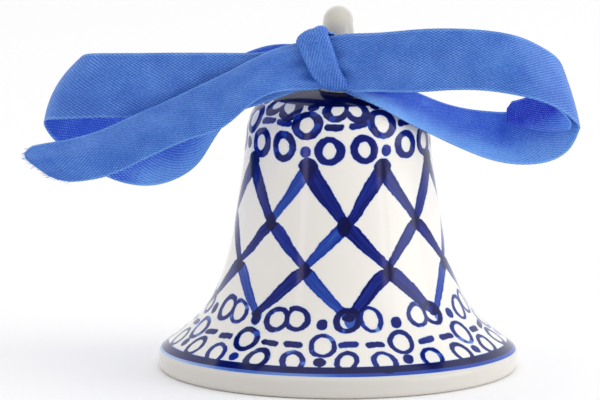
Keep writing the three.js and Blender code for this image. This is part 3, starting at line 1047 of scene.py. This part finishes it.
def strip_mesh(name, points, along, turned=False):
    """A mesh of rows of points in millimetres, with its map in millimetres of cloth."""
    rows, columns = points.shape[:2]
    mesh = bpy.data.meshes.new(name)
    corners = np.arange(rows * columns).reshape(rows, columns)
    faces = np.stack([corners[:-1, :-1], corners[1:, :-1], corners[1:, 1:], corners[:-1, 1:]], -1)
    if not turned:
        faces = faces[..., ::-1]
    mesh.from_pydata((points.reshape(-1, 3) * MM).tolist(), [], faces.reshape(-1, 4).tolist())
    across = np.tile(np.linspace(0, RIBBON_WIDTH, columns), (rows, 1))
    cloth = np.stack([across, along], -1).reshape(-1, 2)
    uv = mesh.uv_layers.new(name="weave")
    for loop_uv, corner in zip(uv.data, mesh.loops):
        loop_uv.uv = cloth[corner.vertex_index]
    piece = new_piece(name, mesh, satin)
    mesh.materials.append(satin_back)
    length = float(along.max())
    print(name, "is", round(length), "mm long")
    return piece, length


def slanted(points, run, cut):
    """Ends each thread at its own place: cut gives how much is left, across the strip."""
    out, along = points.copy(), np.zeros(points.shape[:2])
    across = np.linspace(0, 1, points.shape[1])
    left = np.interp(across, *zip(*cut))
    for column in range(points.shape[1]):
        near_end = np.clip(run - run[-1] + CUT_REACH, 0, None)
        wanted = run - near_end * (1 - left[column])
        along[:, column] = wanted
        for axis in range(3):
            out[:, column, axis] = np.interp(wanted, run, points[:, column, axis])
    return out, along


def finish_cloth(piece):
    thick = piece.modifiers.new("cloth", "SOLIDIFY")
    thick.thickness = CLOTH * MM
    thick.offset = 0
    thick.material_offset = 1


# %% The four long stretches
RIGHT_LOOP = [
    [[-5.4, -12.2, 67.4], [-1.2, -13.4, 58.9]],
    [[-1.7, -12.6, 68.7], [2.3, -14, 57.9]],
    [[6.4, -13.2, 69.4], [6.8, -14.3, 57.8]],
    [[12.4, -14.2, 70], [12.8, -15, 57.8]],
    [[20.4, -15, 70.6], [20.4, -15.2, 58.2]],
    [[30.2, -14.5, 70], [28.8, -16, 58.3]],
    [[36.4, -13, 68.4], [36.4, -16, 57.1]],
    [[41.6, -10, 65.3], [44, -14, 54]],
    [[44.3, -6, 62], [47.4, -10.5, 50.6]],
    [[44.6, -2.3, 58.7], [47.9, -6.5, 48.8]],
    [[41.8, 0.5, 55], [46.2, -2, 44.4]],
    [[38, 2.5, 52.2], [42.2, 0, 41.5]],
    [[34, 3, 51.1], [36.4, -0.5, 41]],
    [[30.4, 1.5, 51.4], [28.4, -4, 43.3]],
    [[23, -2, 53.1], [20.4, -7.5, 47.3]],
    [[17.4, -7, 55.8], [15.4, -12, 50.4]],
    [[11, -9.8, 57.8], [8.4, -14.6, 54.9]],
    [[4.2, -10.2, 58.6], [2.9, -12.9, 57.3]],
    [[-0.6, -10.3, 60.4], [-0.8, -12.2, 58.6]],
]
TUCKED_TAIL = [
    [[-5, -11.2, 67.2], [-1.6, -12.1, 60.8]],
    [[-1.4, -11.4, 68.2], [2.4, -12.4, 60.2]],
    [[6.4, -11.8, 69], [6.8, -12.8, 60]],
    [[12.4, -12.8, 69.8], [12.8, -13.4, 60]],
    [[20.4, -13.5, 70.2], [20.4, -13.7, 60]],
    [[29.8, -12.9, 69.4], [28.6, -14.2, 59.4]],
    [[35.4, -11.4, 68], [35.4, -14.2, 57.8]],
    [[40.4, -8.6, 65], [42.8, -12.2, 54.6]],
    [[43.2, -5.5, 62], [45.9, -9.6, 51.3]],
    [[43.5, -3.1, 58.8], [46.2, -6.8, 49.4]],
    [[41, -1.3, 56.4], [44.4, -4, 46.8]],
    [[38, 0.2, 54.6], [40.4, -2.6, 44.9]],
    [[33.6, 0.8, 53.3], [33.8, -2.8, 45.2]],
]
LEFT_LOOP = [
    [[-4.6, -12, 67.4], [-0.4, -12.4, 60.4]],
    [[-8.4, -11.6, 66.9], [-4.4, -12, 59]],
    [[-15, -11.8, 65.4], [-15, -13, 55.3]],
    [[-23.6, -12.2, 65.3], [-24.2, -13.2, 53]],
    [[-35.6, -12.2, 65.3], [-37.6, -13.2, 52.3]],
    [[-45.4, -10.8, 65], [-49.2, -12, 52.2]],
    [[-50.2, -8, 64.2], [-55.8, -9.4, 51.5]],
    [[-51.2, -4.2, 62], [-58.4, -5.6, 50.4]],
    [[-49.5, -1.2, 57.6], [-57.2, -2.2, 46.9]],
    [[-43.5, 0.8, 51.8], [-51.6, -0.2, 41.9]],
    [[-37.6, 2, 48.4], [-45.2, 0.8, 37.8]],
    [[-34, 2.8, 48.2], [-38.6, 1, 36.4]],
    [[-31.2, 3.4, 49.6], [-33.2, 1.4, 37.4]],
    [[-29.6, 3.8, 52.4], [-28.4, 1.8, 40.4]],
    [[-28.2, 3.6, 55.8], [-25.6, 2, 44.4]],
    [[-24.2, 3, 60], [-21.4, 0.8, 50.8]],
    [[-18.4, 0.6, 63.4], [-16.6, -2.6, 55.8]],
    [[-9.8, -6.6, 66.2], [-6.4, -8.6, 59.6]],
    [[-5, -9.6, 66.4], [-2, -10.4, 60.8]],
]
FRONT_TAIL = [
    [[-4.4, -13.4, 68.2], [0, -14, 59.2]],
    [[-8.5, -13.4, 67.4], [-3.8, -14.4, 58.4]],
    [[-13.6, -14, 65.9], [-11.4, -17, 58.3]],
    [[-20.6, -14.6, 62.4], [-17.6, -18.6, 55.7]],
    [[-27.6, -15, 59.1], [-23.2, -19.2, 51.3]],
    [[-34.6, -15.4, 55.9], [-29.6, -19.6, 49]],
    [[-41.6, -15.8, 52.8], [-35.6, -20, 46.4]],
    [[-48.4, -16, 49.8], [-40.8, -20.2, 43.9]],
    [[-55.2, -16.2, 48.2], [-46.6, -20.4, 41.6]],
    [[-60.2, -16.4, 47.4], [-51.4, -20.2, 40.8]],
    [[-64.2, -16.6, 46.2], [-55.6, -19.6, 40.6]],
]
# each pair is a place across the strip's end, and how much of CUT_REACH is left there
TUCKED_CUT = [(0, 0.9), (0.15, 1), (0.5, 1), (0.58, 0.74), (1, 0.05)]
FRONT_CUT = [
    (0, 0.72), (0.06, 0.84), (0.14, 0.93), (0.25, 0.98), (0.4, 1), (0.8, 1), (0.93, 0.95), (1, 0.82),
]
right_loop, right_length = laid_strip(
    "bow_right_loop", RIGHT_LOOP, knots=(1, 1), cup=0.15, creases=1, seed=1.0)
tucked_tail, tucked_length = laid_strip(
    "bow_tucked_tail", TUCKED_TAIL, knots=(1, 0), cup=0.1, creases=0.4, seed=2.0, swell=-0.5,
    cut=TUCKED_CUT)
# The tucked tail wears the darker copy of the satin, which is painted shade.
for slot in range(2):
    tucked_tail.data.materials[slot] = satin_painted_shade
left_loop, left_length = laid_strip(
    "bow_left_loop", LEFT_LOOP, knots=(1, 1), cup=-0.4, creases=1, seed=3.0, swell=-1.4,
    turned=True)
front_tail, front_length = laid_strip(
    "bow_front_tail", FRONT_TAIL, knots=(1, 0), cup=-0.5, creases=1, seed=4.0, cut=FRONT_CUT,
    turned=True)
tail_end = [vertex.co.copy() for vertex in front_tail.data.vertices[-ACROSS - 1:]]

# %% [markdown]
# ## The frayed end
#
# The tail was cut with scissors and not sealed, so the ends of its threads have worked loose. They
# repeat along a line, which is what Geometry Nodes do best: the cut is resampled into even points,
# and a short bent thread with few faces stands on each, turned and sized by chance.

# %% Loose threads along the cut
THREAD = 0.055
THREAD_LENGTH = 0.75
SHORTEST, LONGEST = 0.35, 1.2
FRAY_SPREAD = 0.4


def frayed_end(name, line, outwards, count, material):
    tree = Tree("fray an end")
    number = tree.size("Threads", "NodeSocketInt", count)
    length = tree.size("Thread Length", "NodeSocketFloat", THREAD_LENGTH * MM)
    seed = tree.size("Seed", "NodeSocketInt", 7)
    spread = tree.node("GeometryNodeResampleCurve", Curve=tree.inputs.outputs[0], Count=number)
    middle = tree.node("ShaderNodeCombineXYZ", X=tree.math("MULTIPLY", length, 0.10),
                       Z=tree.math("MULTIPLY", length, 0.5))
    end = tree.node("ShaderNodeCombineXYZ", X=tree.math("MULTIPLY", length, 0.34), Z=length)
    thread = tree.node("GeometryNodeCurveQuadraticBezier", Resolution=4, Start=(0, 0, 0),
                       Middle=middle.outputs[0], End=end.outputs[0])
    circle = tree.node("GeometryNodeCurvePrimitiveCircle", Resolution=4, Radius=THREAD * MM)
    sweep = tree.node("GeometryNodeCurveToMesh", Curve=thread.outputs[0],
                      Profile_Curve=circle.outputs[0], Fill_Caps=True)
    scatter = tree.node("FunctionNodeRandomValue", {"data_type": "FLOAT_VECTOR"}, Seed=seed)
    tree.feed(scatter.inputs[0], tuple(v - FRAY_SPREAD for v in outwards))
    tree.feed(scatter.inputs[1], tuple(v + FRAY_SPREAD for v in outwards))
    turn = tree.node("FunctionNodeAlignRotationToVector", {"axis": "Z"}, Vector=scatter.outputs[0])
    size = tree.node("FunctionNodeRandomValue", {"data_type": "FLOAT"}, Seed=seed)
    tree.feed(size.inputs[2], SHORTEST)
    tree.feed(size.inputs[3], LONGEST)
    placed = tree.node("GeometryNodeInstanceOnPoints", Points=spread.outputs[0],
                       Instance=sweep.outputs[0], Rotation=turn.outputs[0], Scale=size.outputs[1])
    tree.finish(placed.outputs[0], material)
    piece = tree.apply(line_object(name, line), name)
    weld(piece, 0.0005 * MM)
    return piece


def loose_thread():
    thread = Finish("loose thread")
    place = thread.node("ShaderNodeTexCoord", output="Object")
    fleck = thread.noise(place, 2400.0, 1.0)
    thread.set(Base_Color=mix_colours(thread, thread.step(fleck, 0.42, 0.58),
                                      colour(96, 148, 226), colour(232, 240, 252)))
    thread.set(Roughness=thread.between(0.35, 0.6, fleck), Sheen_Weight=0.3)
    return thread.material


fray = frayed_end("bow_frayed_end", tail_end, (-0.8, -0.15, -0.5), 64, loose_thread())

# %% [markdown]
# ## The knot
#
# The strip goes round the loop's leg, crosses over itself and wraps once round the middle of the
# bow. Both are closed bands, and both are narrower than the strip, so the strip's two edges are
# folded under to take up the rest of its width.

# %% The wrap and the turn round the leg
WRAP = [
    [[-8.2, -14.3, 68.4], [-2.1, -14.9, 69.2]],
    [[-7.8, -15.2, 66.6], [-1.4, -15.6, 67.3]],
    [[-6.8, -15.8, 64.4], [-0.6, -16, 65]],
    [[-5.9, -15.9, 62.5], [0.1, -16, 62.8]],
    [[-4.9, -15.6, 60.7], [0.9, -15.8, 61]],
    [[-3.4, -14.9, 59.2], [1.6, -15, 59.5]],
    [[-2.2, -13.4, 58.2], [1.9, -13.2, 58.4]],
    [[-2.4, -11.5, 58.9], [1.4, -11.3, 59.2]],
    [[-3.8, -10.3, 61.6], [0.2, -10.2, 62]],
    [[-5.4, -10.1, 65.2], [-1.4, -10, 66]],
    [[-5.4, -10.7, 68.6], [-2.2, -10.6, 69.2]],
    [[-5.5, -12.4, 69.9], [-2.2, -12.5, 70.4]],
]
COLLAR_MIDDLE = 62.7
COLLAR_HEIGHT = 4.8
COLLAR_REACH = LOOP_SECTION + 0.95
FLAP_GAP = 0.3
BAND_ROWS = 900


def folded_across(width, turn):
    """The strip with both edges folded under: where each thread lies, across and below."""
    places = []
    flat = width / 2 - turn
    for thread in np.linspace(-RIBBON_WIDTH / 2, RIBBON_WIDTH / 2, ACROSS + 1):
        side, way = math.copysign(1, thread), abs(thread)
        if way < flat:
            places.append((thread, 0.0))
        elif way < flat + math.pi * turn:
            angle = (way - flat) / turn
            places.append((side * (flat + turn * math.sin(angle)), turn * (math.cos(angle) - 1)))
        else:
            back = way - flat - math.pi * turn
            below = -2 * turn - (FLAP_GAP if side > 0 else 0) * min(back, 1)
            places.append((side * (flat - back), below))
    return np.array(places)


def closed_band(name, stations, turn, crown, seed, turned=False):
    """A closed band through stations of [left edge, right edge], its two edges folded under."""
    count = len(stations)
    # three turns are laid and the middle one is kept, so that it closes on itself smoothly
    ring = np.array([[*a, *b] for a, b in stations] * 3, float)
    rows = smooth_line(ring, BAND_ROWS)
    half = BAND_ROWS // 2
    first = int(np.linalg.norm(rows[:half] - ring[count], axis=1).argmin())
    last = half + int(np.linalg.norm(rows[half:] - ring[2 * count], axis=1).argmin())
    rows = rows[first:last].reshape(-1, 2, 3)[::2]
    looped = np.concatenate([rows[-1:], rows, rows[:1]])
    facing = row_directions(looped)[1:-1] * (-1 if turned else 1)
    middle = rows.mean(axis=1)
    steps = np.linalg.norm(np.roll(middle, -1, axis=0) - middle, axis=1)
    run = np.concatenate([[0], np.cumsum(steps)])
    points = []
    for i, (row, out) in enumerate(zip(rows, facing)):
        width = np.linalg.norm(row[1] - row[0])
        across = (row[1] - row[0]) / width
        place = folded_across(width, turn)
        share = place[:, 0] / (width / 2)
        angle = 2 * math.pi * i / len(rows)
        crease = 0.45 * crown * np.sin(4.2 * share + 1.4 * math.sin(angle + seed) + seed)
        height = place[:, 1] + crown * (1 - share ** 2) + crease
        points.append(row.mean(axis=0) + across * place[:, :1] + out[None] * height[:, None])
    points.append(points[0])
    along = np.tile(run[:, None], (1, ACROSS + 1))
    return strip_mesh(name, np.array(points), along, not turned)


def collar_stations():
    stations = []
    for angle in np.linspace(0, 2 * math.pi, 12, endpoint=False):
        x, y = COLLAR_REACH * math.sin(angle), -LOOP_LEGS - COLLAR_REACH * math.cos(angle)
        top = COLLAR_MIDDLE + COLLAR_HEIGHT / 2 + 0.3 * math.cos(angle)
        stations.append([[x, y, top], [x, y, top - COLLAR_HEIGHT]])
    return stations


wrap, wrap_length = closed_band(
    "bow_wrap", WRAP, turn=0.42, crown=0.35, seed=0.6, turned=True)
collar, collar_length = closed_band(
    "bow_turn", collar_stations(), turn=0.2, crown=0.1, seed=2.0)
weld(wrap)
weld(collar)

# %% [markdown]
# ## What moves with what
#
# The ring swings on the clay eye and the clapper swings on the ring. All the rest is one body. Each
# piece takes the place of its imported node.

# %% Bodies and cloth
pieces = [
    (shell, "bell", "bell_shell", "painted_glaze"),
    (loop, "bell", "hanging_loop", "plain_glaze"),
    (eye, "bell", "clapper_lug", "plain_glaze"),
    (ring, "link", "link_ring", "steel_wire"),
    (pin, "clapper", "clapper_pin", "steel_wire"),
    (bead, "clapper", "clapper_bead", "plain_glaze"),
    (right_loop, "bell", "ribbon_right_loop", "satin_ribbon"),
    (tucked_tail, "bell", "ribbon_tucked_tail", "satin_ribbon"),
    (left_loop, "bell", "ribbon_left_loop", "satin_ribbon"),
    (front_tail, "bell", "ribbon_front_tail", "satin_ribbon"),
    (fray, "bell", "ribbon_front_tail", "satin_ribbon"),
    (wrap, "bell", "ribbon_knot", "satin_ribbon"),
    (collar, "bell", "ribbon_collar", "satin_ribbon"),
]
for piece, body, node, finish in pieces:
    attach(piece, body)
    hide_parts(node)

sheets = [
    (right_loop, right_length, "folded"), (tucked_tail, tucked_length, "folded"),
    (left_loop, left_length, "folded"), (front_tail, front_length, "draped"),
    (wrap, wrap_length, "gathered"), (collar, collar_length, "gathered"),
]
for piece, length, held in sheets:
    finish_cloth(piece)
    length * MM

# %% The floor
def studio_floor():
    mesh = bpy.data.meshes.new("floor")
    corners = [(-20, -20, 0), (20, -20, 0), (20, 20, 0), (-20, 20, 0)]
    mesh.from_pydata(corners, [], [(0, 1, 2, 3)])
    paper = Finish("studio paper")
    place = paper.node("ShaderNodeTexCoord", output="Object")
    fibre = paper.noise(place, 800.0, 2.0)
    paper.set(Base_Color=mix_colours(paper, fibre, colour(250, 250, 250), colour(247, 247, 247)))
    paper.set(Roughness=0.9)
    floor = new_piece("studio_floor", mesh, paper.material)


studio_floor()
